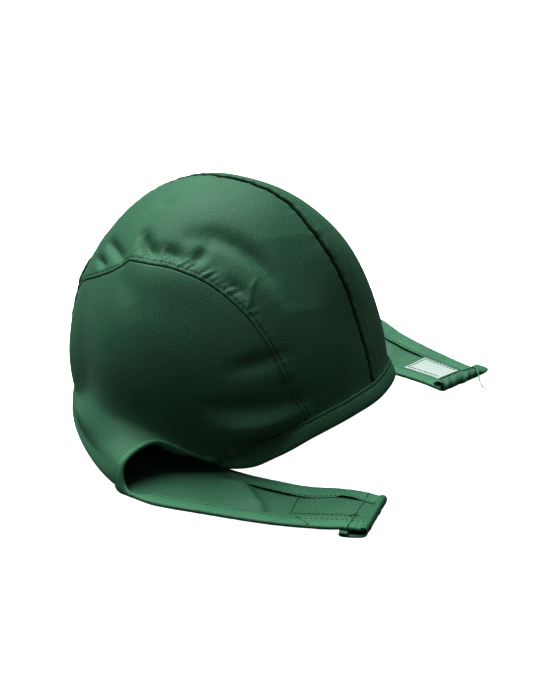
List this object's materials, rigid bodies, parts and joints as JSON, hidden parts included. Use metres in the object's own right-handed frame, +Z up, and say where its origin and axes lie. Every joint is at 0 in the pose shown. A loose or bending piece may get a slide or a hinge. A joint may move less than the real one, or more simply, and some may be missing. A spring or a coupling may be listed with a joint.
{
  "type": "welding cap",
  "caption": "Soft close-fitting cap of green flame-retardant twill with bound edges and chin straps, lying with the straps folded under and laid forward.",
  "frame": {"origin": "on the floor under the middle of the outline", "axes": "+Z up from the floor, the front of the cap faces -Y, the wearer's right side is -X"},
  "size_m": [0.2786, 0.2398, 0.1489],
  "materials": {
    "twill": "fine diagonal twill, matte with a soft sheen",
    "binding": "folded twill tape, matte",
    "hook": "pale woven hook tape",
    "loop": "napped loop tape"
  },
  "bodies": {
    "root": {"crown_right": "twill", "crown_left": "twill", "side_right": "twill", "side_left": "twill", "binding_front": "binding", "binding_right_outer": "binding", "binding_left_outer": "binding", "binding_right_inner": "binding", "binding_left_inner": "binding", "end_fold_right": "twill", "end_fold_left": "twill", "hook_patch": "hook", "loop_patch": "loop"}
  },
  "joints": []
}
